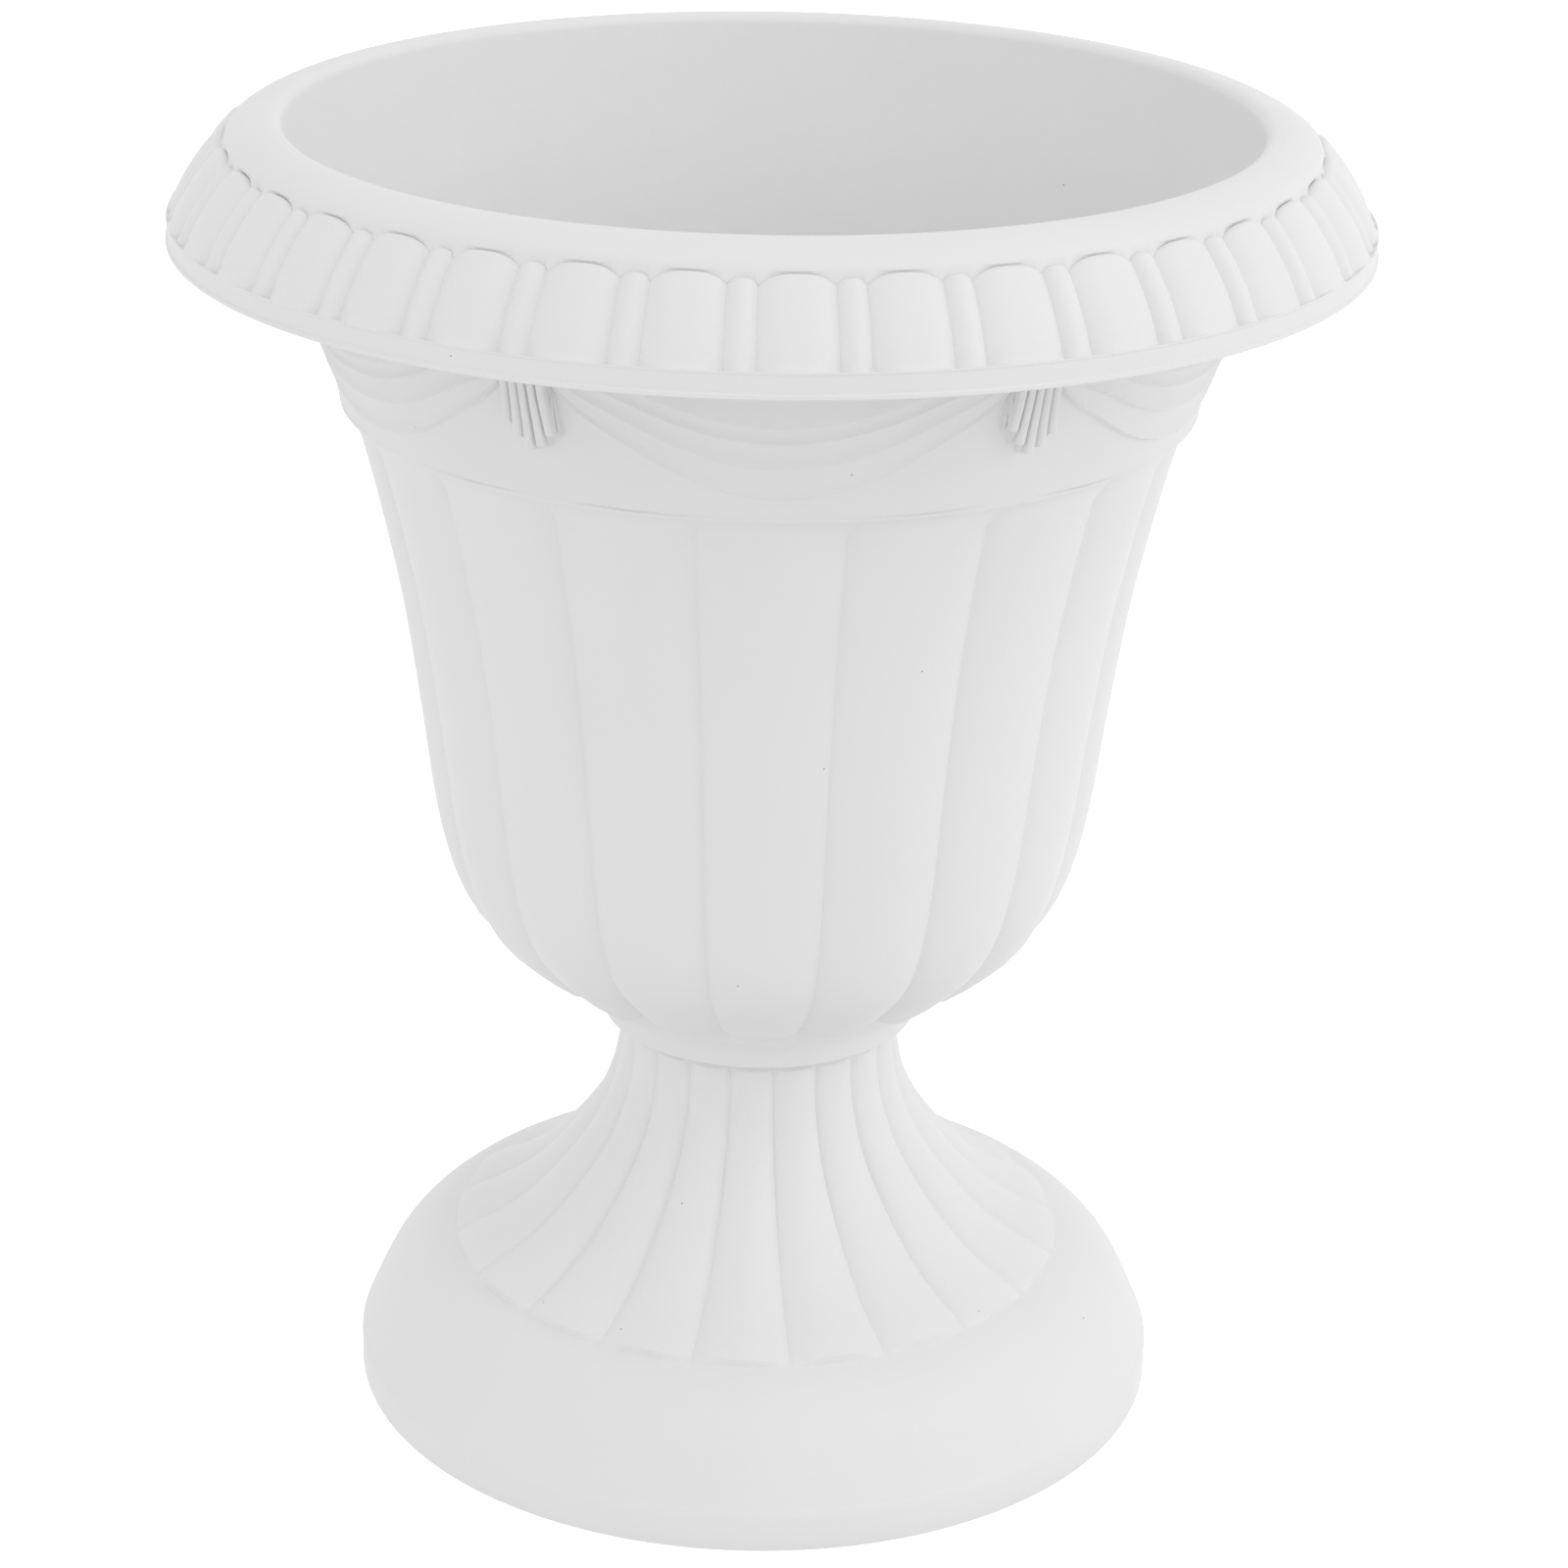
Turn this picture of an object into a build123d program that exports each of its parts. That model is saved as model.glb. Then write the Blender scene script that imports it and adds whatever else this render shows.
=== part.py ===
"""Two-part moulded garden urn: lobed bowl with swags and an egg-and-bar rim, on a lobed pedestal."""
from build123d import *
from math import cos, hypot, radians, sin
import os

# Walls and clearances
wall = 3.0
overrun = 5.0
spigot_clearance = 0.3
bolt_clearance = 0.5
thread_clearance = 0.05
plug_clearance = 0.05

# Plinth and foot dome
plinth_radius = 90.3
plinth_height = 9.0
plinth_crease = 0.9
dome_rise = 23.4
# Radius share from sunburst to crease and height share from crease to sunburst
dome_shares = [(1.0, 0.0), (0.914, 0.182), (0.776, 0.449), (0.557, 0.716), (0.3, 0.893), (0.0, 1.0)]

# Lobed trumpet of the pedestal
trumpet_lobes = 20
trumpet_turn = -2.3
sunburst_radius = 68.4
sunburst_lip = 1.6
neck_radius = 31.3
trumpet_rise = 52.3
trumpet_lobe_depth = 2.2
# Height share from sunburst to lobe tops, radius share from sunburst to neck, depth share of a groove
trumpet_side_shares = [
    (-0.057, -0.11, 1.0),
    (0.048, 0.091, 1.0),
    (0.172, 0.387, 0.9),
    (0.344, 0.634, 0.7),
    (0.56, 0.853, 0.6),
    (0.8, 0.985, 0.5),
    (1.0, 1.0, 0.3),
]

# Spigot and deck at the pedestal's top
spigot_step = 1.5
deck_thickness = 3.0

# Collar and floor of the bowl
collar_gap = 1.0
collar_step = 3.5
collar_face = 2.9
collar_cove = 7.0
# Share of the cove outwards and upwards, along a quarter circle
cove_shares = [(0.0, 0.0), (0.134, 0.5), (0.5, 0.866), (1.0, 1.0)]
socket_depth = 7.9
floor_thickness = 3.4
floor_corner_share = 0.85

# Lobed side of the bowl
bowl_lobes = 18
bowl_turn = 0.5
side_foot_overhang = 1.7
side_rise = 132.5
band_step = 2.1
bowl_lobe_depth = 2.2
# Height share from foot to band, radius share from foot to top, depth share of a groove
bowl_side_shares = [
    (0.0, 0.0, 0.5),
    (0.03, 0.14, 1.0),
    (0.082, 0.334, 1.0),
    (0.15, 0.482, 1.0),
    (0.255, 0.597, 1.0),
    (0.47, 0.695, 1.0),
    (0.78, 0.842, 1.0),
    (1.0, 1.0, 1.0),
]

# Swag band
band_radius = 90.5
band_rise = 35.3
# Radius share and height share from the band's foot to its top
band_shares = [(0.0, 0.0), (0.283, 0.313), (1.0, 1.0)]

# Rim, from the mouth outwards
mouth_radius = 102.0
mouth_depth = 3.5
mouth_roll = 3.0
roll_width = 8.6
roll_drop = 3.2
roll_lip = 1.6
# Share of the width from mouth to crest and of the mouth's depth, then the same from crest to roll edge
mouth_shares = [(0.0, 1.0), (0.3, 0.3), (1.0, 0.0)]
roll_shares = [(0.0, 0.0), (0.35, 0.04), (0.68, 0.33), (1.0, 1.0)]
moulding_top_step = 1.7
moulding_width = 9.9
moulding_rise = 14.8
moulding_lip = 0.6
skirt_face = 4.8
skirt_lean = 0.5
skirt_step = 0.3
band_top_drop = 5.0

# Egg-and-bar moulding round the rim
rim_units = 36
rim_turn = 2.4
egg_half_angle = 3.6
egg_depth = 2.0
bar_depth = 1.4
# Share of the half angle and of the depth, across an egg and across a bar
egg_shares = [(-1.0, 0.0), (-0.6, 0.7), (0.0, 1.0), (0.6, 0.7), (1.0, 0.0)]
bar_shares = [(-1.0, 0.0), (-0.45, 1.0), (0.45, 1.0), (1.0, 0.0)]
# Height share from foot to top and radius share from foot to top
moulding_shares = [(0.0, 0.0), (0.45, 0.33), (1.0, 1.0)]

# Swags and tassels
swag_count = 6
swag_turn = 1.5
swag_end_rise = 27.7
swag_overlap = 3.0
# Lowest height over the band's foot, half angle at the ends and proudness of each fold, front fold first
swag_folds = [
    (21.6, 15.9, 3.2),
    (18.0, 20.1, 2.4),
    (12.5, 23.2, 1.6),
    (5.8, 25.5, 0.8),
]
tassel_turn = 30.0
tassel_pitch = 2.7
tassel_gap = 0.5
tassel_proud = 3.4
tassel_strand_rises = [17.7, 14.6, 12.4, 13.4, 15.8]

# Central bolt with its seal, washers and nut
bolt_radius = 4.0
bolt_head_flats = 13.0
bolt_head_height = 5.3
bolt_tail = 4.0
seal_radius = 10.5
seal_thickness = 2.0
washer_radius = 10.0
washer_thickness = 1.6
nut_height = 6.5

# Drain holes and their plugs
drain_count = 3
drain_turn = 60.0
drain_circle_radius = 18.0
drain_hole_radius = 5.0
deck_drain_radius = 7.0
plug_flange_radius = 6.5
plug_flange_thickness = 2.0
plug_reach = 2.2
plug_tip_chamfer = 1.0
plug_grip_width = 8.0
plug_grip_thickness = 2.0
plug_grip_height = 5.0


def polar(radius, angle):
    """Point on a circle, with the angle in degrees from the front towards the right."""
    turned = radians(angle - 90)
    return (radius * cos(turned), radius * sin(turned))


def between(low, high, share):
    """Value at a share of the way from low to high."""
    return low + (high - low) * share


def inset(points, distance):
    """Outline moved towards the urn's inside, square to its own direction at each point."""
    moved = []
    for i, (radius, height) in enumerate(points):
        back = points[max(i - 1, 0)]
        ahead = points[min(i + 1, len(points) - 1)]
        run = hypot(ahead[0] - back[0], ahead[1] - back[1])
        step_in = distance * (ahead[1] - back[1]) / run
        step_up = distance * (ahead[0] - back[0]) / run
        moved.append((radius - step_in, height + step_up))
    return moved


def round_lobe(crest, groove, middle, half_angle):
    """One convex arc of a section, from groove to groove."""
    ThreePointArc(polar(groove, middle - half_angle), polar(crest, middle), polar(groove, middle + half_angle))


def lobed_loft(outline, depths, count, turn):
    """Solid whose sections are rings of round lobes that meet in sharp grooves."""
    pitch = 360 / count
    rings = []
    for (crest, height), depth in zip(outline, depths):
        with BuildSketch(Plane.XY.offset(height)) as ring:
            with BuildLine():
                for k in range(count):
                    round_lobe(crest, crest - depth, turn + k * pitch, pitch / 2)
            make_face()
        rings.append(ring.sketch)
    loft(rings, ruled=True)


def ridge(groove, depth, middle, half_angle, shares):
    """One egg or bar of a section, from groove to groove."""
    Polyline(*[polar(groove + depth * up, middle + half_angle * aside) for aside, up in shares])


def egg_and_bar_loft(outline):
    """Solid ringed by wide eggs with a narrow flat-topped bar between each two."""
    pitch = 360 / rim_units
    rings = []
    for crest, height in outline:
        groove = crest - egg_depth
        with BuildSketch(Plane.XY.offset(height)) as ring:
            with BuildLine():
                for k in range(rim_units):
                    middle = rim_turn + k * pitch
                    ridge(groove, egg_depth, middle, egg_half_angle, egg_shares)
                    ridge(groove, bar_depth, middle + pitch / 2, pitch / 2 - egg_half_angle, bar_shares)
            make_face()
        rings.append(ring.sketch)
    loft(rings, ruled=True)


def facing(angle):
    """Upright plane through the axis that looks outwards at an angle."""
    return Plane(origin=(0, 0, 0), x_dir=(*polar(1, angle + 90), 0), z_dir=(*polar(1, angle), 0))


def band_slab(proud):
    """Revolve a skin that follows the swag band and stands proud of it."""
    face_line = inset(band_line, -proud)
    back_line = inset(band_line, wall / 2)
    with BuildSketch(Plane.XZ) as skin:
        with BuildLine():
            Polyline(*face_line, *reversed(back_line), face_line[0])
        make_face()
    revolve(skin.sketch, axis=Axis.Z, mode=Mode.INTERSECT)


def swag_fold(lowest, half_angle, proud):
    """One hanging fold on every swag: all that lies above its lower edge, as a skin on the band."""
    half_width = band_line[1][0] * sin(radians(half_angle))
    end = band_height + swag_end_rise
    with BuildPart() as fold:
        for k in range(swag_count):
            with BuildSketch(facing(swag_turn + k * 360 / swag_count)):
                with BuildLine():
                    ThreePointArc((-half_width, end), (0, band_height + lowest), (half_width, end))
                    Polyline((half_width, end), (half_width, swag_top_height),
                             (-half_width, swag_top_height), (-half_width, end))
                make_face()
            extrude(amount=rim_radius)
        band_slab(proud)
    return fold.part


def tassel_strands():
    """Narrow strands that hang between the swags, as skins on the band."""
    with BuildPart() as strands:
        for k in range(swag_count):
            with BuildSketch(facing(swag_turn + tassel_turn + k * 360 / swag_count)):
                for i, rise in enumerate(tassel_strand_rises):
                    middle = (i - (len(tassel_strand_rises) - 1) / 2) * tassel_pitch
                    lowest = band_height + rise
                    with Locations((middle, (lowest + swag_top_height) / 2)):
                        Rectangle(tassel_pitch - tassel_gap, swag_top_height - lowest)
            extrude(amount=rim_radius)
        band_slab(tassel_proud)
    return strands.part


def ring_plate(outer, inner, low, thickness):
    """Flat ring that lies at a height."""
    with BuildSketch(Plane.XY.offset(low)) as plate:
        Circle(outer)
        Circle(inner, mode=Mode.SUBTRACT)
    extrude(plate.sketch, amount=thickness)


def finish(piece, name):
    """Label a piece and write its file."""
    piece.part.label = name
    export_step(piece.part, f"parts/{name}.step")


os.makedirs("parts", exist_ok=True)

# Heights, from the standing surface up
dome_height = plinth_height + dome_rise
sunburst_height = dome_height + sunburst_lip
lobe_top_height = sunburst_height + trumpet_rise
collar_edge_height = lobe_top_height + collar_gap
side_foot_height = collar_edge_height + collar_face + collar_cove
deck_height = collar_edge_height + socket_depth
deck_underside = deck_height - deck_thickness
floor_height = deck_height + floor_thickness
band_height = side_foot_height + side_rise
skirt_height = band_height + band_rise
swag_top_height = skirt_height + swag_overlap
skirt_top_height = skirt_height + skirt_face
moulding_foot_height = skirt_top_height + moulding_lip
moulding_top_height = moulding_foot_height + moulding_rise
roll_height = moulding_top_height + roll_lip
urn_height = roll_height + roll_drop
band_top_height = urn_height - band_top_drop

# Radii, from the neck and the mouth outwards
spigot_radius = neck_radius - spigot_step
collar_radius = neck_radius + collar_step
cove_radius = collar_radius + collar_cove
side_foot_radius = cove_radius + side_foot_overhang
side_top_radius = band_radius - band_step
band_top_radius = mouth_radius + wall
crest_radius = mouth_radius + mouth_roll
roll_radius = crest_radius + roll_width
moulding_top_radius = roll_radius + moulding_top_step
moulding_foot_radius = moulding_top_radius + moulding_width
rim_radius = moulding_foot_radius + skirt_step + skirt_lean

# Outlines of the mouldings, as radius and height
dome_line = [(between(sunburst_radius, plinth_radius - plinth_crease, across),
              between(plinth_height + plinth_crease, dome_height, up)) for across, up in dome_shares]
trumpet_line = [(between(sunburst_radius, neck_radius, across), between(sunburst_height, lobe_top_height, up))
                for up, across, depth in trumpet_side_shares]
trumpet_depths = [trumpet_lobe_depth * depth for up, across, depth in trumpet_side_shares]
side_line = [(between(side_foot_radius, side_top_radius, across), between(side_foot_height, band_height, up))
             for up, across, depth in bowl_side_shares]
side_depths = [bowl_lobe_depth * depth for up, across, depth in bowl_side_shares]
cove_line = [(collar_radius + collar_cove * across, side_foot_height - collar_cove * (1 - up))
             for across, up in cove_shares]
band_line = [(between(band_radius, band_top_radius, across), between(band_height, band_top_height, up))
             for across, up in band_shares]
moulding_line = [(between(moulding_foot_radius, moulding_top_radius, across),
                  between(moulding_foot_height, moulding_top_height, up)) for up, across in moulding_shares]
mouth_line = [(mouth_radius + mouth_roll * across, urn_height - mouth_depth * down)
              for across, down in mouth_shares]
roll_line = [(crest_radius + roll_width * across, urn_height - roll_drop * down)
             for across, down in roll_shares]

# Pedestal
with BuildPart() as pedestal:
    # Trumpet of lobes, cut off at the sunburst's edge
    lobed_loft(trumpet_line, trumpet_depths, trumpet_lobes, trumpet_turn)
    with BuildSketch():
        Circle(sunburst_radius)
    extrude(amount=urn_height, mode=Mode.INTERSECT)
    # Foot dome and plinth
    with BuildSketch(Plane.XZ):
        with BuildLine():
            Polyline((0, dome_height), (0, 0), (plinth_radius, 0), (plinth_radius, plinth_height),
                     *dome_line, (0, dome_height))
        make_face()
    revolve(axis=Axis.Z)
    # Spigot that enters the bowl's collar
    with BuildSketch(Plane.XY.offset(dome_height)):
        Circle(spigot_radius)
    extrude(amount=deck_height - dome_height)
    # Hollow inside, open at the bottom and closed by the deck
    hollow_line = [(plinth_radius - wall, plinth_height),
                   inset(dome_line, wall)[3],
                   *inset(trumpet_line, trumpet_lobe_depth + wall)[1:-2],
                   (spigot_radius - wall, lobe_top_height - overrun)]
    with BuildSketch(Plane.XZ):
        with BuildLine():
            Polyline((0, -overrun), (plinth_radius - wall, -overrun), *hollow_line,
                     (spigot_radius - wall, deck_underside), (0, deck_underside), (0, -overrun))
        make_face()
    revolve(axis=Axis.Z, mode=Mode.SUBTRACT)
    # Holes through the deck for the bolt and for drained water
    with BuildSketch(Plane.XY.offset(deck_height)):
        Circle(bolt_radius + bolt_clearance)
        with PolarLocations(drain_circle_radius, drain_count, start_angle=drain_turn):
            Circle(deck_drain_radius)
    extrude(amount=-deck_thickness, mode=Mode.SUBTRACT)
finish(pedestal, "pedestal")

# Relief on the swag band
folds = [swag_fold(lowest, half_angle, proud) for lowest, half_angle, proud in swag_folds]
tassels = tassel_strands()

# Bowl
with BuildPart() as bowl:
    # Lobed side, from the collar to the swag band
    lobed_loft(side_line, side_depths, bowl_lobes, bowl_turn)
    # Swag band
    with BuildSketch(Plane.XZ):
        with BuildLine():
            Polyline(*band_line, (0, band_top_height), (0, band_height), band_line[0])
        make_face()
    revolve(axis=Axis.Z)
    # Swags and tassels
    for fold in folds:
        add(fold)
    add(tassels)
    # Collar and underside
    with BuildSketch(Plane.XZ):
        with BuildLine():
            Polyline((0, collar_edge_height), (collar_radius, collar_edge_height), *cove_line,
                     (cove_radius, floor_height), (0, floor_height), (0, collar_edge_height))
        make_face()
    revolve(axis=Axis.Z)
    # Inside of the bowl
    cavity_line = inset(side_line, bowl_lobe_depth + wall)
    floor_corner = (cavity_line[1][0] * floor_corner_share, floor_height)
    with BuildSketch(Plane.XZ):
        with BuildLine():
            Polyline((0, floor_height), floor_corner, *cavity_line[1:], (mouth_radius, band_top_height),
                     (mouth_radius, urn_height + overrun), (0, urn_height + overrun), (0, floor_height))
        make_face()
    revolve(axis=Axis.Z, mode=Mode.SUBTRACT)
    # Socket for the spigot
    with BuildSketch(Plane.XY.offset(collar_edge_height)):
        Circle(spigot_radius + spigot_clearance)
    extrude(amount=deck_height - collar_edge_height, mode=Mode.SUBTRACT)
    # Holes through the floor for the bolt and the drain plugs
    with BuildSketch(Plane.XY.offset(floor_height)):
        Circle(bolt_radius + bolt_clearance)
        with PolarLocations(drain_circle_radius, drain_count, start_angle=drain_turn):
            Circle(drain_hole_radius)
    extrude(amount=-floor_thickness, mode=Mode.SUBTRACT)
lower_bowl = bowl.part

# Rim, hollow behind its skirt
with BuildPart() as rim:
    moulding_core_top = inset(moulding_line, egg_depth)[-1]
    with BuildSketch(Plane.XZ):
        with BuildLine():
            Polyline((0, urn_height - mouth_depth), *mouth_line, *roll_line[1:],
                     (moulding_core_top[0], moulding_top_height),
                     (moulding_foot_radius - egg_depth, moulding_foot_height),
                     (rim_radius - skirt_lean, skirt_top_height), (rim_radius, skirt_height),
                     (0, skirt_height), (0, urn_height - mouth_depth))
        make_face()
    revolve(axis=Axis.Z)
    # Eggs and bars
    egg_and_bar_loft(moulding_line)
    # Mouth and open channel behind the skirt
    channel = inset(moulding_line, egg_depth + wall)
    with BuildSketch(Plane.XZ):
        with BuildLine():
            Polyline((0, skirt_height - overrun), (rim_radius - wall, skirt_height - overrun),
                     (rim_radius - wall, skirt_height), *channel, (band_top_radius, band_top_height),
                     (mouth_radius, band_top_height), (mouth_radius, urn_height + overrun),
                     (0, urn_height + overrun), (0, skirt_height - overrun))
        make_face()
    revolve(axis=Axis.Z, mode=Mode.SUBTRACT)

with BuildPart() as bowl:
    add(lower_bowl)
    add(rim.part)
finish(bowl, "bowl")

# Seal and washers of the central bolt
seal_top = floor_height + seal_thickness
with BuildPart() as seal_washer:
    ring_plate(seal_radius, bolt_radius + bolt_clearance, floor_height, seal_thickness)
finish(seal_washer, "seal_washer")

with BuildPart() as head_washer:
    ring_plate(washer_radius, bolt_radius + bolt_clearance, seal_top, washer_thickness)
finish(head_washer, "head_washer")

with BuildPart() as nut_washer:
    ring_plate(washer_radius, bolt_radius + bolt_clearance, deck_underside - washer_thickness, washer_thickness)
finish(nut_washer, "nut_washer")

# Nut under the pedestal's deck
nut_low = deck_underside - washer_thickness - nut_height
with BuildPart() as bolt_nut:
    with BuildSketch(Plane.XY.offset(nut_low)):
        RegularPolygon(bolt_head_flats / 2, 6, major_radius=False)
        Circle(bolt_radius + thread_clearance, mode=Mode.SUBTRACT)
    extrude(amount=nut_height)
finish(bolt_nut, "bolt_nut")

# Bolt, put in from inside the bowl
with BuildPart() as bolt:
    with BuildSketch(Plane.XY.offset(seal_top + washer_thickness)):
        RegularPolygon(bolt_head_flats / 2, 6, major_radius=False)
    extrude(amount=bolt_head_height)
    with BuildSketch(Plane.XY.offset(nut_low - bolt_tail)):
        Circle(bolt_radius)
    extrude(amount=seal_top + washer_thickness - nut_low + bolt_tail)
finish(bolt, "bolt")

# Push-in drain plugs
for k in range(drain_count):
    with BuildPart() as drain_plug:
        turn = radians(drain_turn + k * 360 / drain_count)
        centre = (drain_circle_radius * cos(turn), drain_circle_radius * sin(turn))
        with BuildSketch(Plane.XY.offset(floor_height)):
            with Locations(centre):
                Circle(plug_flange_radius)
        extrude(amount=plug_flange_thickness)
        with BuildSketch(Plane.XY.offset(floor_height)):
            with Locations(centre):
                Circle(drain_hole_radius - plug_clearance)
        extrude(amount=-floor_thickness - plug_reach)
        chamfer(drain_plug.edges().group_by(Axis.Z)[0], length=plug_tip_chamfer)
        with BuildSketch(Plane.XY.offset(floor_height + plug_flange_thickness)):
            with Locations(centre):
                Rectangle(plug_grip_width, plug_grip_thickness, rotation=drain_turn + k * 360 / drain_count + 90)
        extrude(amount=plug_grip_height)
    finish(drain_plug, f"drain_plug_{k + 1}")
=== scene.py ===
"""Urn vase: the moulded bowl and pedestal, their fixings and drain plugs, on a plain pale floor."""
import bmesh
import bpy
from collections import namedtuple
from math import asin, cos, degrees, hypot, pi, radians, sin, sqrt
from mathutils import Matrix, Vector


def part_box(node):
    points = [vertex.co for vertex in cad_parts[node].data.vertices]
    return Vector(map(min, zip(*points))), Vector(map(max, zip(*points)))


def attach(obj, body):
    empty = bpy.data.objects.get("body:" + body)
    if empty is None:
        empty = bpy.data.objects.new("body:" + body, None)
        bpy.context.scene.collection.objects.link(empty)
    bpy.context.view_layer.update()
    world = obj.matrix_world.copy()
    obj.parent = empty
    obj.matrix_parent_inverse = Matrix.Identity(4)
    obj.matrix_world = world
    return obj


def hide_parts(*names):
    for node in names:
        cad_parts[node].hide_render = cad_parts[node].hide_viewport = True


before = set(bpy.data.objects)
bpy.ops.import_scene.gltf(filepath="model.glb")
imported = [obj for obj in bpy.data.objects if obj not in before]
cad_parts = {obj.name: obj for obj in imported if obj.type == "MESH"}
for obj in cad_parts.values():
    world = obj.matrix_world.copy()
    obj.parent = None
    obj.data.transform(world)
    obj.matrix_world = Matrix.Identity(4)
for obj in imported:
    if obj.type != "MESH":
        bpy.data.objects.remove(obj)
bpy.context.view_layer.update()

# Lengths are in millimetres, and angles in degrees from the front towards the right
mm = 0.001
seam = 0.01
sharp_angle = 27.0
curve_steps = 24
hole_sides = 48


# Sections and spun mouldings

Row = namedtuple("Row", "zone share radius height")


class Section:
    """Half section of a moulding, drawn point by point as radius and height, in zones that take relief."""

    def __init__(self, radius, height):
        self.points = [(radius, height)]
        self.places = [("start", 0.0)]

    def add(self, zone, points):
        for i, point in enumerate(points):
            self.points.append(point)
            self.places.append((zone, (i + 1) / len(points)))

    def line(self, zone, end, count=1):
        start = self.points[-1]
        shares = [(i + 1) / count for i in range(count)]
        self.add(zone, [tuple(a + (b - a) * share for a, b in zip(start, end)) for share in shares])

    def arc(self, zone, middle, end, count):
        self.add(zone, arc_points(self.points[-1], middle, end, count)[1:])

    def curve(self, zone, through, count):
        self.add(zone, curve_points([self.points[-1], *through], count)[1:])

    def rows(self):
        """Every point with its zone and its share of the zone."""
        return [Row(zone, share, *point) for (zone, share), point in zip(self.places, self.points)]


def arc_points(start, middle, end, count):
    """Points along the circle through three points."""
    (ax, ay), (bx, by), (cx, cy) = start, middle, end
    twice = 2 * (ax * (by - cy) + bx * (cy - ay) + cx * (ay - by))
    a2, b2, c2 = ax * ax + ay * ay, bx * bx + by * by, cx * cx + cy * cy
    centre = Vector(((a2 * (by - cy) + b2 * (cy - ay) + c2 * (ay - by)) / twice,
                     (a2 * (cx - bx) + b2 * (ax - cx) + c2 * (bx - ax)) / twice))
    spoke = Vector(start) - centre
    turn = spoke.angle_signed(Vector(middle) - centre) + (Vector(middle) - centre).angle_signed(
        Vector(end) - centre)
    return [tuple(centre + Matrix.Rotation(-turn * i / count, 2) @ spoke) for i in range(count + 1)]


def curve_points(through, count):
    """Points at even steps along a smooth curve through some points."""
    padded = [Vector(p) for p in (through[0], *through, through[-1])]
    fine = []
    for back, start, end, ahead in zip(padded, padded[1:], padded[2:], padded[3:]):
        for i in range(curve_steps):
            t = i / curve_steps
            first = 2 * start + (end - back) * t
            second = (2 * back - 5 * start + 4 * end - ahead) * t ** 2
            third = (3 * start - back - 3 * end + ahead) * t ** 3
            fine.append(0.5 * (first + second + third))
    fine.append(padded[-1])
    lengths = [0.0]
    for a, b in zip(fine, fine[1:]):
        lengths.append(lengths[-1] + (b - a).length)
    points = []
    for i in range(count + 1):
        wanted = lengths[-1] * (i / count)
        j = next(k for k in range(1, len(fine)) if lengths[k] >= wanted - seam * mm)
        share = (wanted - lengths[j - 1]) / (lengths[j] - lengths[j - 1])
        points.append(tuple(fine[j - 1].lerp(fine[j], share)))
    return points


def along(line, share):
    """Point at a share of a line, with the outward direction there."""
    last = len(line) - 1
    i = min(int(share * last), last - 1)
    t = share * last - i
    (a, b), (c, d) = line[i], line[i + 1]
    run = hypot(c - a, d - b)
    return a + (c - a) * t, b + (d - b) * t, (b - d) / run, (c - a) / run


def line_length(line):
    return sum(hypot(c - a, d - b) for (a, b), (c, d) in zip(line, line[1:]))


def radius_at(outline, height):
    """Radius of a rising outline at a height."""
    for (low_radius, low), (high_radius, high) in zip(outline, outline[1:]):
        if height <= high:
            return low_radius + (high_radius - low_radius) * (height - low) / (high - low)
    return outline[-1][0]


def smooth(low, high, value):
    """Smooth step from 0 at low to 1 at high."""
    t = min(max((value - low) / (high - low), 0.0), 1.0)
    return t * t * (3 - 2 * t)


def round_over(distance, radius):
    """Height share of a rounded edge at a distance in from the edge."""
    t = 1 - min(max(distance / radius, 0.0), 1.0)
    return sqrt(1 - t * t)


def lobe_dip(across):
    """Share of a convex lobe's depth at a place across it, steeper near its grooves."""
    return (1 - groove_share) * across ** 2 + groove_share * across ** groove_power


def spun_moulding(name, section, sectors, columns, relief):
    """Spin one sector of a section, shape its relief, and repeat it round the axis."""
    rows = section.rows()
    sheet = bmesh.new()
    station = sheet.verts.layers.int.new("station")
    ring = [sheet.verts.new((0, -row.radius, row.height)) for row in rows]
    for i, vert in enumerate(ring):
        vert[station] = i
    edges = [sheet.edges.new((ring[i - 1], ring[i])) for i in range(len(ring))]
    sector = 360 / sectors
    bmesh.ops.spin(sheet, geom=ring + edges, cent=(0, 0, 0), axis=(0, 0, 1), angle=radians(sector),
                   steps=columns, use_duplicate=False)
    for vert in sheet.verts:
        across = degrees(asin(max(-1.0, min(1.0, vert.co.x / hypot(vert.co.x, vert.co.y)))))
        angle = across if vert.co.y < 0 else 180 - across
        column = round(angle / sector * columns)
        angle, radius, height = relief(rows[vert[station]], column)
        vert.co = (radius * sin(radians(angle)), -radius * cos(radians(angle)), height)
    first = list(sheet.verts) + list(sheet.edges) + list(sheet.faces)
    for k in range(1, sectors):
        copied = bmesh.ops.duplicate(sheet, geom=first)["geom"]
        bmesh.ops.rotate(sheet, verts=[part for part in copied if isinstance(part, bmesh.types.BMVert)],
                         cent=(0, 0, 0), matrix=Matrix.Rotation(radians(k * sector), 3, "Z"))
    bmesh.ops.remove_doubles(sheet, verts=sheet.verts, dist=seam)
    bmesh.ops.recalc_face_normals(sheet, faces=sheet.faces)
    sheet.verts.layers.int.remove(sheet.verts.layers.int["station"])
    return finished(name, sheet)


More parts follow.
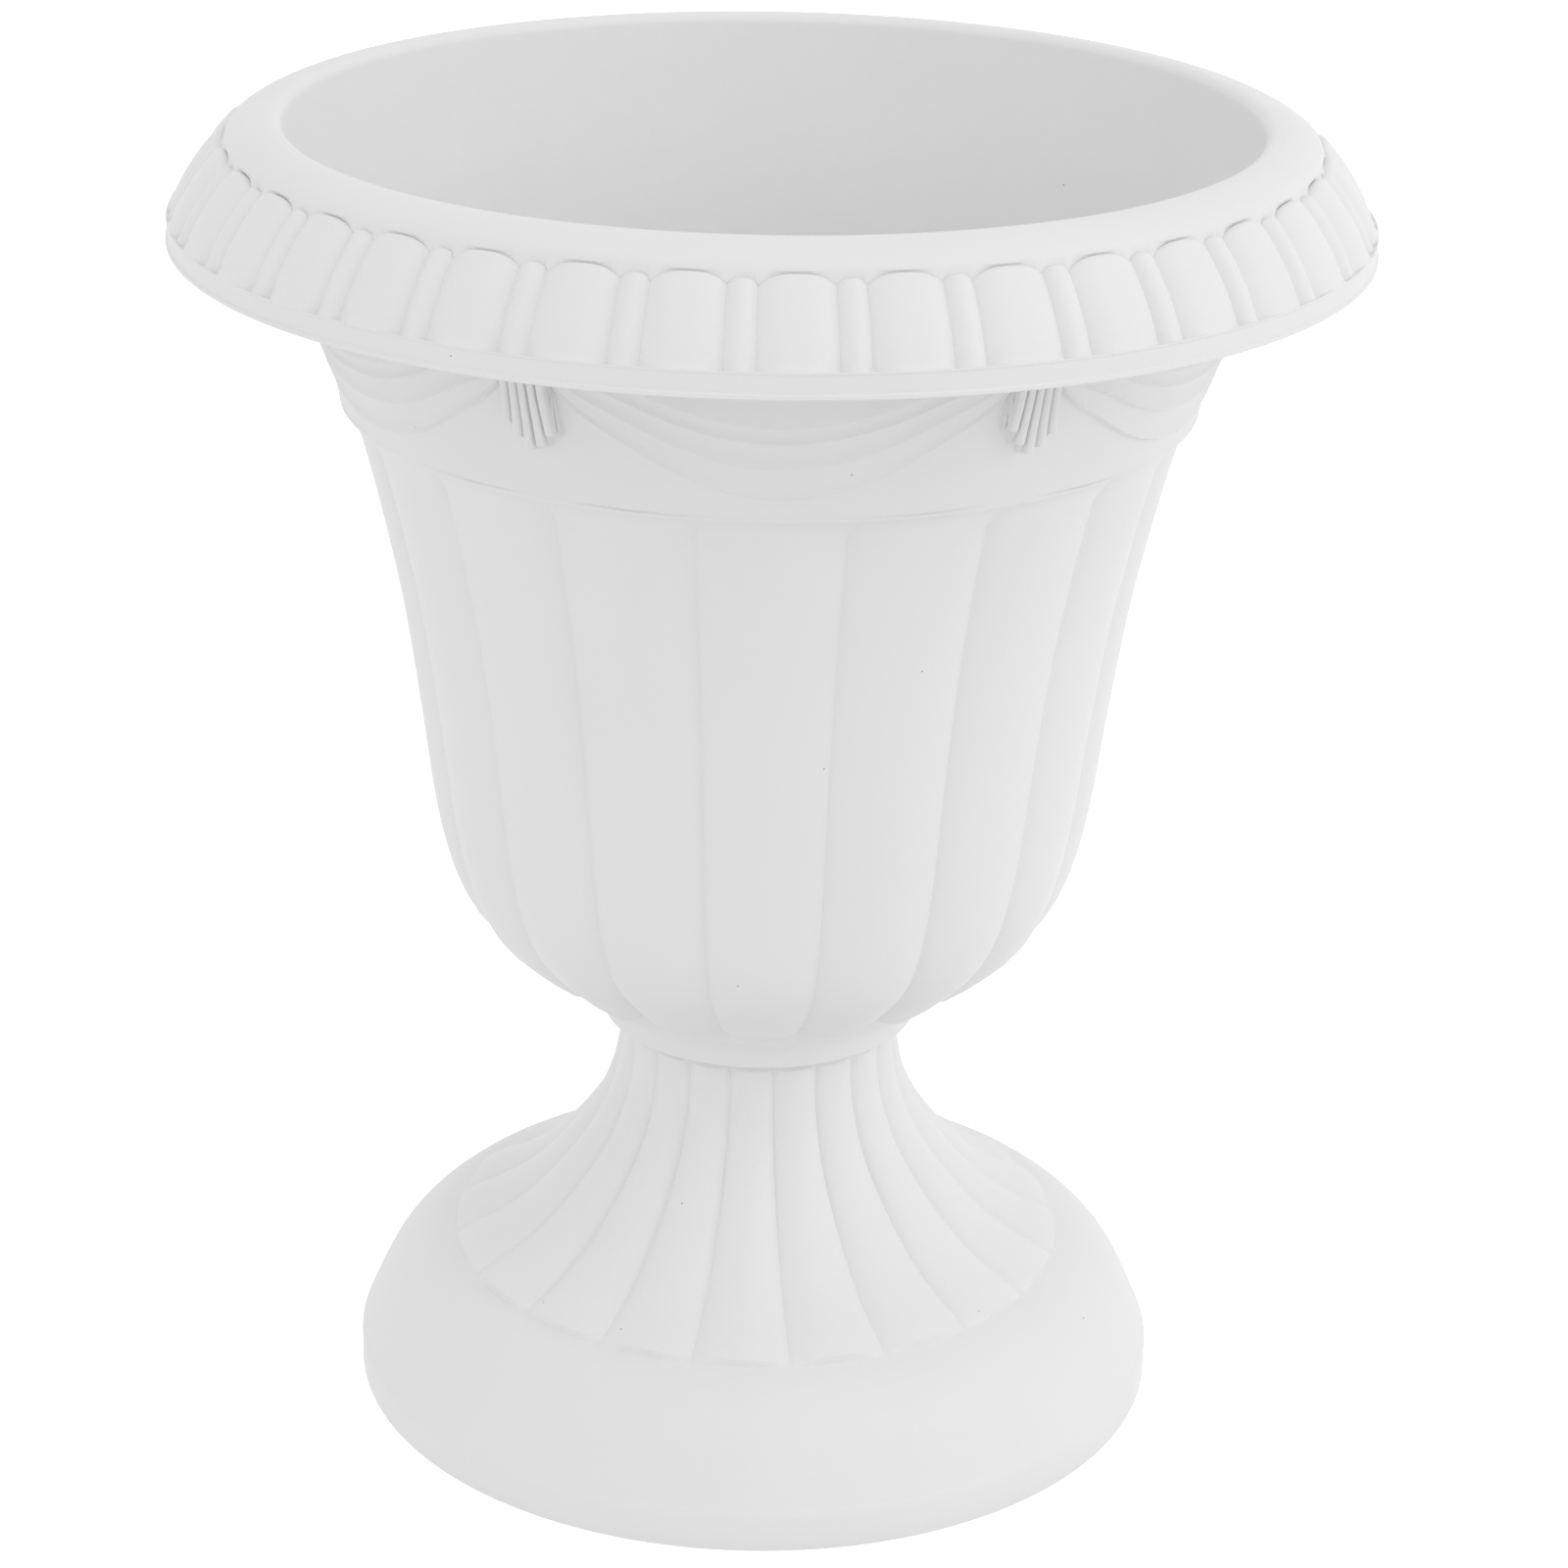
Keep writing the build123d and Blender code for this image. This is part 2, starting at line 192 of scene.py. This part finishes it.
def finished(name, sheet):
    """Turn a bmesh in millimetres into an object in metres, smooth but for its sharp edges."""
    for face in sheet.faces:
        face.smooth = True
    for edge in sheet.edges:
        edge.smooth = edge.calc_face_angle(0.0) < radians(sharp_angle)
    bmesh.ops.scale(sheet, vec=(mm, mm, mm), verts=sheet.verts)
    mesh = bpy.data.meshes.new(name)
    sheet.to_mesh(mesh)
    sheet.free()
    piece = bpy.data.objects.new(name, mesh)
    bpy.context.collection.objects.link(piece)
    return piece


def drill(piece, places, radius, low, high):
    """Cut upright round holes through a piece."""
    sheet = bmesh.new()
    for x, y in places:
        middle = Matrix.Translation((x * mm, y * mm, (low + high) / 2 * mm))
        bmesh.ops.create_cone(sheet, cap_ends=True, segments=hole_sides, radius1=radius * mm,
                              radius2=radius * mm, depth=(high - low) * mm, matrix=middle)
    mesh = bpy.data.meshes.new("drill")
    sheet.to_mesh(mesh)
    sheet.free()
    tool = bpy.data.objects.new("drill", mesh)
    bpy.context.collection.objects.link(tool)
    cut = piece.modifiers.new("holes", "BOOLEAN")
    cut.object = tool
    cut.operation = "DIFFERENCE"
    cut.solver = "MANIFOLD"
    baked = bpy.data.meshes.new_from_object(piece.evaluated_get(bpy.context.evaluated_depsgraph_get()))
    piece.modifiers.clear()
    piece.data = baked
    bpy.data.objects.remove(tool)


# Sizes that come from the frame

bowl_low, bowl_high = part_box("bowl")
_, pedestal_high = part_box("pedestal")
rim_radius = bowl_high[0] / mm
urn_height = bowl_high[2] / mm
collar_edge = bowl_low[2] / mm
plinth_radius = pedestal_high[0] / mm
deck_height = pedestal_high[2] / mm
wall = 3.0
bowl_floor = 3.4
floor_height = deck_height + bowl_floor
bolt_hole = 4.5
spigot_radius = 29.8
socket_radius = 30.1
spigot_chamfer = 0.6
drain_hole = 5.0
deck_drain_hole = 7.0
drain_ring = 18.0
drain_angles = [radians(angle) for angle in (60, 180, 300)]
drains = [(drain_ring * cos(angle), drain_ring * sin(angle)) for angle in drain_angles]
groove_share = 0.2
groove_power = 8


# Bowl

bowl_sectors = 6
bowl_columns = 120
egg_turn = 2.4
egg_half_angle = 3.6
egg_columns = 13
unit_columns = 20
egg_depth = 2.0
bar_depth = 1.5
egg_fullness = 2.8
bar_fullness = 2.2
# Shares of the moulding by which the eggs' corners and the bars' tops hang below its top
egg_arch = 0.11
bar_drop = 0.04
egg_round = 1.4
row_crowding = 1.6
lobe_turn = 0.5
lobe_columns = 40
lobe_depth = 2.2
# Sunken corner at the top of each groove, then the scallop at each lobe's end
corner_depth = 2.0
corner_power = 7
corner_length = 5.0
scallop_drop = 1.6
scallop_round = 2.4
lobe_notch = 3.2
notch_power = 2.2
notch_start = 0.82
swag_turn = 1.5
swag_top = 268.0
swag_foot = 231.2
swag_end_height = 257.4
swag_radius = 98.0
# Lowest height and half width at the ends of each fold, from the back fold to the front one
swag_folds = [(235.5, 42.2), (242.2, 38.6), (247.7, 33.6), (251.3, 26.8)]
fold_step = 0.9
fold_edge = 0.6
fold_gap = 0.6
fold_reach = 0.98
fold_hem = 0.45
hem_top = 262.0
# Rows of faces below the back fold's edge, then on each fold
swag_rows = [7, 4, 3, 3, 4]
tassel_turn = 30.0
tassel_half_angle = 4.6
tassel_columns = 44
tassel_proud = 3.4
tassel_fan = 0.37
strand_edge = 0.88
strand_groove = 0.5
strand_flat = 0.74
strand_ends = [247.4, 244.3, 242.1, 243.1, 245.5]
band_line = arc_points((90.7, 229.7), (94.6, 247.0), (105.0, 285.0), 40)


def egg_place(column):
    """Angle of a rim column, its place across its egg or bar, and whether that is an egg."""
    unit, step = divmod(column, unit_columns)
    pitch = 360 / bowl_sectors / bowl_columns * unit_columns
    start = egg_turn - egg_half_angle + unit * pitch
    if step < egg_columns:
        return start + 2 * egg_half_angle * step / egg_columns, 2 * step / egg_columns - 1, True
    bar_step = (step - egg_columns) / (unit_columns - egg_columns)
    return start + 2 * egg_half_angle + (pitch - 2 * egg_half_angle) * bar_step, 2 * bar_step - 1, False


def egg_relief(row, column):
    """Eggs as arched pillows with a round-topped bar between each two."""
    angle, across, is_egg = egg_place(column)
    if is_egg:
        top = egg_arch * abs(across) ** 3
        proud = egg_depth * (1 - abs(across) ** egg_fullness)
    else:
        top = bar_drop + egg_arch * (1 - sqrt(1 - across ** 2)) / 2
        proud = bar_depth * (1 - abs(across) ** bar_fullness)
    down = row.share ** row_crowding if row.zone == "eggs" else 0.0
    radius, height, out_radius, out_height = along(moulding_line, top + down * (1 - top))
    from_top = down * (1 - top) * moulding_length
    sunk = egg_depth - proud * round_over(from_top, egg_round)
    return angle, radius - out_radius * sunk, height - out_height * sunk


def fold_height(fold, angle):
    """Height of a fold's lower edge at an angle from the middle of its swag."""
    lowest, half_width = fold
    sag = swag_end_height - lowest
    curve_radius = (half_width ** 2 + sag ** 2) / (2 * sag)
    sideways = swag_radius * sin(radians(abs(angle)))
    if sideways < fold_reach * curve_radius:
        return lowest + curve_radius - sqrt(curve_radius ** 2 - sideways ** 2)
    return swag_top


def swag_place(column):
    """Angle of a swag column from the middle of its swag, crowded at the tassel."""
    plain = (bowl_columns - tassel_columns) / 2
    edge = tassel_turn - tassel_half_angle
    if column <= plain:
        return edge * column / plain
    if column >= bowl_columns - plain:
        return 2 * tassel_turn - edge * (bowl_columns - column) / plain
    return edge + 2 * tassel_half_angle * (column - plain) / tassel_columns


def strand_place(angle):
    """Strand of the tassel at an angle from the tassel's middle, with the place across that strand."""
    pitch = 2 * tassel_half_angle / len(strand_ends)
    strand = int((angle + tassel_half_angle) / pitch)
    across = 2 * ((angle + tassel_half_angle) / pitch - strand) - 1
    return min(strand, len(strand_ends) - 1), across


def strand_relief(across):
    """Share of a tassel's depth at a place across a strand."""
    if abs(across) > strand_edge:
        return strand_groove
    return strand_flat + (1 - strand_flat) * sqrt(1 - (across / strand_edge) ** 2)


def swag_levels(edges):
    """Heights of the band's foot, of the two sides of each fold's lower edge, and of the band's top."""
    levels = [swag_foot]
    for i, edge in enumerate(edges):
        limit = swag_top - (len(edges) - i) * fold_gap
        levels += [min(edge, limit) - fold_edge / 2, min(edge, limit) + fold_edge / 2]
    return [*levels, swag_top]


def swag_relief(row, column):
    """Hanging folds with stepped lower edges, and a tassel of strands between each two swags."""
    angle = swag_place(column)
    from_tassel = angle - tassel_turn
    in_tassel = abs(from_tassel) <= tassel_half_angle + seam
    if in_tassel:
        inside = tassel_half_angle - seam
        strand, across = strand_place(min(max(from_tassel, -inside), inside))
        end = strand_ends[strand]
        step = (swag_top - end) / len(swag_folds)
        levels = swag_levels([end + step * i for i in range(len(swag_folds))])
    else:
        from_swag = min(angle, 2 * tassel_turn - angle)
        levels = swag_levels([fold_height(fold, from_swag) for fold in swag_folds])
    # Stretch between two levels that the row lies in, counted from the foot of the band up
    stretch, left = 0, round((1 - row.share) * swag_row_count)
    while left > swag_stretches[stretch]:
        left -= swag_stretches[stretch]
        stretch += 1
    share = left / swag_stretches[stretch]
    height = levels[stretch] + (levels[stretch + 1] - levels[stretch]) * share
    on_edge = stretch % 2 == 1
    steps = (stretch - 1) / 2 + share if on_edge else stretch / 2
    if in_tassel:
        proud = tassel_proud * strand_relief(across) * min(steps, 1.0)
    else:
        proud = fold_step * steps + (fold_hem if on_edge and height < hem_top else 0.0)
    narrow = tassel_fan * smooth(swag_foot, swag_end_height, height)
    near = 1 - smooth(tassel_half_angle, 3 * tassel_half_angle, abs(from_tassel))
    angle = tassel_turn + from_tassel * (1 - narrow * near)
    return swag_turn + angle, radius_at(band_line, height) + proud, height


def lobe_place(column):
    """Angle of a lobe column, with its place across its lobe."""
    across = ((column + lobe_columns / 2) % lobe_columns) / (lobe_columns / 2) - 1
    return lobe_turn + column * 360 / bowl_sectors / bowl_columns, across


def lobe_relief(row, column):
    """Convex lobes with sharp grooves, square at the top and rounded into scallops at the bottom."""
    angle, across = lobe_place(column)
    notch = lobe_notch / side_length * abs(across) ** notch_power
    share = row.share - notch * smooth(notch_start, 1.0, row.share)
    radius, height, out_radius, out_height = along(side_line, share)
    from_top = share * side_length
    from_end = (1 - row.share) * side_length
    sunk = lobe_depth * lobe_dip(across)
    sunk += corner_depth * abs(across) ** corner_power * (1 - smooth(0.0, corner_length, from_top))
    sunk += scallop_drop * (1 - round_over(from_end, scallop_round))
    return angle, radius - out_radius * sunk, height - out_height * sunk


def bowl_relief(row, column):
    """Place of one point of the bowl, by the zone that it lies in."""
    plain_angle = swag_turn + column * 360 / bowl_sectors / bowl_columns
    if row.zone == "cove" and row.share == 1.0 or row.zone == "eggs":
        return egg_relief(row, column)
    if row.zone in ("roll", "cove", "bead", "fillet", "lip"):
        return egg_place(column)[0], row.radius, row.height
    if row.zone == "swags" or row.zone == "channel" and row.share == 1.0:
        return swag_relief(row if row.zone == "swags" else row._replace(share=0.0), column)
    if row.zone == "lobes":
        return lobe_relief(row, column)
    if row.zone in ("under_lobes", "collar"):
        return lobe_place(column)[0], row.radius, row.height
    return plain_angle, row.radius, row.height


# Lines that the relief follows
bead_top = (125.45, 270.3)
lobe_end = (43.6, 97.4)
moulding_line = curve_points([(114.4, 286.2), (118.2, 282.0), (121.5, 277.4), (123.9, 273.2),
                              (124.7, 271.2), bead_top], 40)
moulding_length = line_length(moulding_line)
side_line = curve_points([(88.8, 229.0), (86.5, 222.0), (82.6, 206.0), (78.5, 186.0),
                          (75.0, 162.0), (72.4, 142.0), (69.9, 129.5), (66.7, 120.0),
                          (61.9, 112.0), (53.5, 104.0), (48.0, 99.8), lobe_end], 120)
side_length = line_length(side_line)
swag_stretches = [swag_rows[0]]
for count in swag_rows[1:]:
    swag_stretches += [1, count]
swag_row_count = sum(swag_stretches)

bowl_section = Section(bolt_hole, floor_height)
bowl_section.line("floor", (37.0, floor_height), 2)
bowl_section.curve("inside", [(43.0, 101.6), (57.0, 113.6), (63.4, 126.0), (67.6, 145.0), (71.4, 174.0),
                              (77.4, 206.0), (83.4, 229.0)], 10)
bowl_section.line("inside", (101.4, 287.3), 3)
bowl_section.arc("mouth", (102.15, 289.2), (104.2, 289.93), 6)
bowl_section.arc("roll", (109.2, 288.95), (112.8, 287.0), 6)
bowl_section.curve("cove", [(113.3, 286.2), (113.5, 285.0)], 3)
bowl_section.line("eggs", bead_top, 21)
bowl_section.arc("bead", (125.68, 270.0), (125.5, 269.4), 3)
bowl_section.line("fillet", (125.45, 265.9))
bowl_section.arc("lip", (rim_radius, 265.2), (125.5, 264.7), 3)
bowl_section.line("lip", (123.1, 264.8))
bowl_section.curve("channel", [(121.6, 270.6), (116.9, 278.3), (110.9, 282.6), (106.2, 284.0), (104.2, 281.0),
                               (100.7, 268.0)], 7)
bowl_section.line("swags", (91.0, swag_foot), swag_row_count)
bowl_section.arc("band_edge", (90.85, 230.2), (90.4, 229.75), 3)
bowl_section.line("band_edge", (88.9, 229.5))
bowl_section.line("lobes", lobe_end, 27)
bowl_section.line("under_lobes", (41.6, 96.2))
bowl_section.curve("under_lobes", [(38.2, 95.4), (35.6, 93.2), (34.9, 90.2)], 5)
bowl_section.line("collar", (34.8, 87.6))
bowl_section.line("collar", (34.5, collar_edge))
bowl_section.line("socket", (socket_radius, collar_edge))
bowl_section.line("socket", (socket_radius, deck_height))
bowl_section.line("socket", (bolt_hole, deck_height))
urn_bowl = spun_moulding("urn_bowl", bowl_section, bowl_sectors, bowl_columns, bowl_relief)
drill(urn_bowl, drains, drain_hole, deck_height - wall, floor_height + wall)


# Pedestal

flute_count = 20
flute_columns = 36
flute_turn = -2.3
flute_top = 86.3
shoulder_rise = 0.4
sunburst_radius = 68.4
dome_top = 32.4
dome_step = 0.02
inside_foot = 87.3
inside_neck = 26.8
trumpet_line = curve_points([(31.3, flute_top), (31.3, 80.0), (33.0, 72.0), (36.3, 64.0),
                             (40.1, 58.0), (44.8, 52.0), (49.0, 47.5), (54.0, 43.0),
                             (60.0, 39.0), (65.0, 36.3), (sunburst_radius, 34.2)], 120)
trumpet_length = line_length(trumpet_line)
# Depths of the flutes' grooves at the neck, about the middle and at the sunburst's edge
flute_neck_depth = 1.1
flute_middle_depth = 2.1
flute_edge_depth = 1.75
deepest_from = 0.45
shallower_from = 0.8
# Arched tops of the flutes, with a recess beside each arch
flute_arch = 4.5
arch_width = 0.75
arch_softness = 0.5
recess_depth = 1.5
arch_drop = 0.9
arch_round = 1.6


def flute_relief(row, column):
    """Convex flutes with sharp grooves, arched at the neck and cut off at the sunburst's edge."""
    across = 2 * column / flute_columns - 1
    angle = flute_turn + across * 180 / flute_count
    radius, height, out_radius, out_height = along(trumpet_line, row.share)
    from_top = row.share * trumpet_length
    depth = flute_neck_depth + (flute_middle_depth - flute_neck_depth) * smooth(0.0, deepest_from, row.share)
    depth += (flute_edge_depth - flute_middle_depth) * smooth(shallower_from, 1.0, row.share)
    sunk = depth * lobe_dip(across)
    if from_top < flute_arch:
        up = 1 - from_top / flute_arch
        half_width = arch_width * sqrt(1 - up ** 2)
        sunk = max(sunk, recess_depth * smooth(half_width, half_width + arch_softness, abs(across)))
        sunk += arch_drop * (1 - round_over(from_top, arch_round)) * (1 - across ** 2)
    return angle, radius - out_radius * sunk, height - out_height * sunk


def pedestal_relief(row, column):
    """Place of one point of the pedestal, by the zone that it lies in."""
    if row.zone == "flutes":
        return flute_relief(row, column)
    return flute_turn + (column / flute_columns - 0.5) * 360 / flute_count, row.radius, row.height


pedestal_section = Section(bolt_hole, deck_height)
pedestal_section.line("deck", (spigot_radius - spigot_chamfer, deck_height))
pedestal_section.line("deck", (spigot_radius, deck_height - spigot_chamfer))
pedestal_section.line("spigot", (spigot_radius, flute_top + shoulder_rise), 2)
pedestal_section.line("flutes", (sunburst_radius, 34.0), 40)
pedestal_section.line("edge", (sunburst_radius + dome_step, dome_top))
pedestal_section.curve("dome", [(74.7, 30.1), (80.1, 26.1), (83.6, 22.0), (85.8, 18.0), (87.7, 14.0),
                                (89.2, 10.4)], 14)
pedestal_section.curve("plinth", [(89.5, 9.6), (89.9, 9.0), (plinth_radius, 7.8)], 6)
pedestal_section.line("plinth", (plinth_radius, 0.8))
pedestal_section.arc("plinth", (90.05, 0.25), (89.5, 0.0), 2)
pedestal_section.line("foot", (inside_foot, 0.0))
pedestal_section.line("foot", (inside_foot, 8.6))
pedestal_section.curve("hollow", [(79.2, 21.0), (66.0, 28.6), (55.0, 35.6), (43.5, 46.0), (34.4, 57.5),
                                  (28.6, 69.5), (inside_neck, 81.0)], 12)
pedestal_section.line("hollow", (inside_neck, deck_height - wall))
pedestal_section.line("hollow", (bolt_hole, deck_height - wall))
urn_pedestal = spun_moulding("urn_pedestal", pedestal_section, flute_count, flute_columns, pedestal_relief)
drill(urn_pedestal, drains, deck_drain_hole, deck_height - 2 * wall, deck_height + wall)


# Finishes

class Value:
    """Output of a shader node; sums written with it add the Math nodes that they need."""

    def __init__(self, finish, socket):
        self.finish = finish
        self.socket = socket

    def sum(self, operation, first, second):
        return self.finish.node("ShaderNodeMath", {"operation": operation}, {0: first, 1: second})

    def __add__(self, other):
        return self.sum("ADD", self, other)

    def __radd__(self, other):
        return self.sum("ADD", other, self)

    def __mul__(self, other):
        return self.sum("MULTIPLY", self, other)

    def __rmul__(self, other):
        return self.sum("MULTIPLY", other, self)

    def __lt__(self, other):
        return self.sum("LESS_THAN", self, other)


class Finish:
    """Material built from nodes, with one Principled shader."""

    def __init__(self, name):
        self.material = bpy.data.materials.new(name)
        self.material.use_nodes = True
        self.tree = self.material.node_tree
        self.shader = next(n for n in self.tree.nodes if n.type == "BSDF_PRINCIPLED")
        self.place = self.node("ShaderNodeTexCoord", output="Object")

    def node(self, kind, settings=None, inputs=None, output=0):
        """Add a node: its settings first, then the values or links of its sockets."""
        made = self.tree.nodes.new(kind)
        for name, setting in (settings or {}).items():
            setattr(made, name, setting)
        for name, value in (inputs or {}).items():
            self.join(made.inputs[name], value)
        return Value(self, made.outputs[output])

    def join(self, socket, value):
        if isinstance(value, Value):
            self.tree.links.new(value.socket, socket)
        else:
            socket.default_value = value

    def noise(self, size, detail=2.0, roughness=0.5):
        """Noise whose features are about one size across, in millimetres."""
        inputs = {"Vector": self.place, "Scale": 1 / (size * mm), "Detail": detail, "Roughness": roughness}
        return self.node("ShaderNodeTexNoise", {"noise_dimensions": "3D"}, inputs, "Fac")

    def specks(self, spacing, size):
        """Mask of small dots, one or none in each cell of a spacing."""
        cells = {"Vector": self.place, "Scale": 1 / (spacing * mm)}
        near = self.node("ShaderNodeTexVoronoi", {"feature": "F1"}, cells, "Distance")
        return near < size / spacing

    def mix(self, factor, first, second):
        return self.node("ShaderNodeMix", {"data_type": "RGBA"}, {0: factor, 6: first, 7: second}, 2)

    def bump(self, height, depth):
        inputs = {"Height": height, "Distance": depth * mm}
        return self.node("ShaderNodeBump", {}, inputs)

    def shade(self, **values):
        for name, value in values.items():
            self.join(self.shader.inputs[name.replace("_", " ")], value)
        return self.material


def moulded_plastic():
    """Matt white moulded plastic with a fine sandy grain, a faint mottle and a few tiny dark specks."""
    finish = Finish("moulded_white_plastic")
    mottle = finish.noise(size=30.0, detail=3.0)
    grain = finish.noise(size=0.45, roughness=0.6)
    specks = finish.specks(spacing=11.0, size=0.17)
    white = finish.mix(mottle, (0.81, 0.81, 0.807, 1.0), (0.84, 0.84, 0.84, 1.0))
    colour = finish.mix(specks, white, (0.22, 0.21, 0.20, 1.0))
    return finish.shade(Base_Color=colour, Roughness=0.56 + 0.1 * grain, IOR=1.46,
                        Normal=finish.bump(grain, depth=0.035))


def plated_steel():
    """Zinc-plated steel with a soft cloudy sheen."""
    finish = Finish("plated_steel")
    cloud = finish.noise(size=3.0, detail=3.0)
    colour = finish.mix(cloud, (0.55, 0.56, 0.57, 1.0), (0.68, 0.68, 0.66, 1.0))
    return finish.shade(Base_Color=colour, Metallic=1.0, Roughness=0.28 + 0.22 * cloud,
                        Normal=finish.bump(finish.noise(size=0.3), depth=0.01))


def seal_rubber():
    """Black moulded rubber, dusty in places."""
    finish = Finish("seal_rubber")
    dust = finish.noise(size=4.0, detail=3.0)
    colour = finish.mix(dust, (0.02, 0.02, 0.021, 1.0), (0.05, 0.05, 0.05, 1.0))
    return finish.shade(Base_Color=colour, Roughness=0.6 + 0.25 * dust,
                        Normal=finish.bump(finish.noise(size=0.35), depth=0.02))


finishes = {"urn_plastic": moulded_plastic(), "fixing_steel": plated_steel(), "seal_rubber": seal_rubber()}
for piece, node in ((urn_bowl, "bowl"), (urn_pedestal, "pedestal")):
    piece.data.materials.clear()
    piece.data.materials.append(finishes["urn_plastic"])
    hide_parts(node)
    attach(piece, "urn")
steel_pieces = ("bolt", "head_washer", "nut_washer", "bolt_nut")
rubber_pieces = ("seal_washer", "drain_plug_1", "drain_plug_2", "drain_plug_3")
for names, slot in ((steel_pieces, "fixing_steel"), (rubber_pieces, "seal_rubber")):
    for name in names:
        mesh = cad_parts[name].data
        mesh.materials.clear()
        mesh.materials.append(finishes[slot])


# Floor, light and camera

def studio_floor():
    """Broad pale floor that curves up far behind the urn."""
    sheet = bmesh.new()
    front = -3000.0
    back = 3000.0
    bend = 900.0
    top = 3000.0
    half = 5000.0
    bend_middle = (back + bend * sin(pi / 4), bend * (1 - cos(pi / 4)))
    line = [(front, 0.0), *arc_points((back, 0.0), bend_middle, (back + bend, bend), 12), (back + bend, top)]
    verts = [sheet.verts.new((-half, y, z)) for y, z in line]
    edges = [sheet.edges.new(pair) for pair in zip(verts, verts[1:])]
    wide = bmesh.ops.extrude_edge_only(sheet, edges=edges)["geom"]
    moved = [part for part in wide if isinstance(part, bmesh.types.BMVert)]
    bmesh.ops.translate(sheet, vec=(2 * half, 0, 0), verts=moved)
    bmesh.ops.recalc_face_normals(sheet, faces=sheet.faces)
    floor = finished("studio_floor", sheet)
    finish = Finish("studio_floor")
    floor.data.materials.append(finish.shade(Base_Color=(0.97, 0.97, 0.97, 1.0), Roughness=0.9,
                                             Emission_Color=(1.0, 1.0, 1.0, 1.0), Emission_Strength=0.56))
    # Its light would fall on the urn from below too strongly, so it throws none back
    floor.visible_diffuse = False


def area_light(name, place, target, size, power):
    """Soft square light that faces a point; its places and size are in metres."""
    lamp = bpy.data.lights.new(name, "AREA")
    lamp.shape = "SQUARE"
    lamp.size = size
    lamp.energy = power
    light = bpy.data.objects.new(name, lamp)
    light.location = place
    light.rotation_euler = (Vector(target) - Vector(place)).to_track_quat("-Z", "Y").to_euler()
    bpy.context.collection.objects.link(light)


studio_floor()
middle = (0.0, 0.0, 0.5 * urn_height * mm)
area_light("key_light", (1.3, -1.1, 1.6), middle, size=1.6, power=4.9)
area_light("fill_light", (-1.6, -1.2, 1.1), middle, size=1.8, power=4.8)
area_light("top_light", (0.2, -0.3, 2.2), middle, size=2.0, power=1.0)
area_light("side_light", (2.0, -0.2, 0.9), middle, size=1.6, power=7.0)
world = bpy.data.worlds.new("studio")
world.use_nodes = True
world.node_tree.nodes["Background"].inputs["Color"].default_value = (1.0, 1.0, 1.0, 1.0)
world.node_tree.nodes["Background"].inputs["Strength"].default_value = 0.77
bpy.context.scene.world = world
bpy.context.scene.view_settings.view_transform = "Standard"

camera_back = 861.0
camera_height = 481.3
camera_pitch = 21.62
camera_roll = 0.98
camera_lens = 96.5
camera_sensor = 36.0
camera_shift = 0.0135
view = bpy.data.cameras.new("camera")
view.sensor_width = camera_sensor
view.lens = camera_lens
view.shift_x = camera_shift
view.clip_end = 50.0
camera = bpy.data.objects.new("camera", view)
camera.matrix_world = (Matrix.Translation((0.0, -camera_back * mm, camera_height * mm))
                       @ Matrix.Rotation(radians(90 - camera_pitch), 4, "X")
                       @ Matrix.Rotation(radians(camera_roll), 4, "Z"))
bpy.context.collection.objects.link(camera)
bpy.context.scene.camera = camera
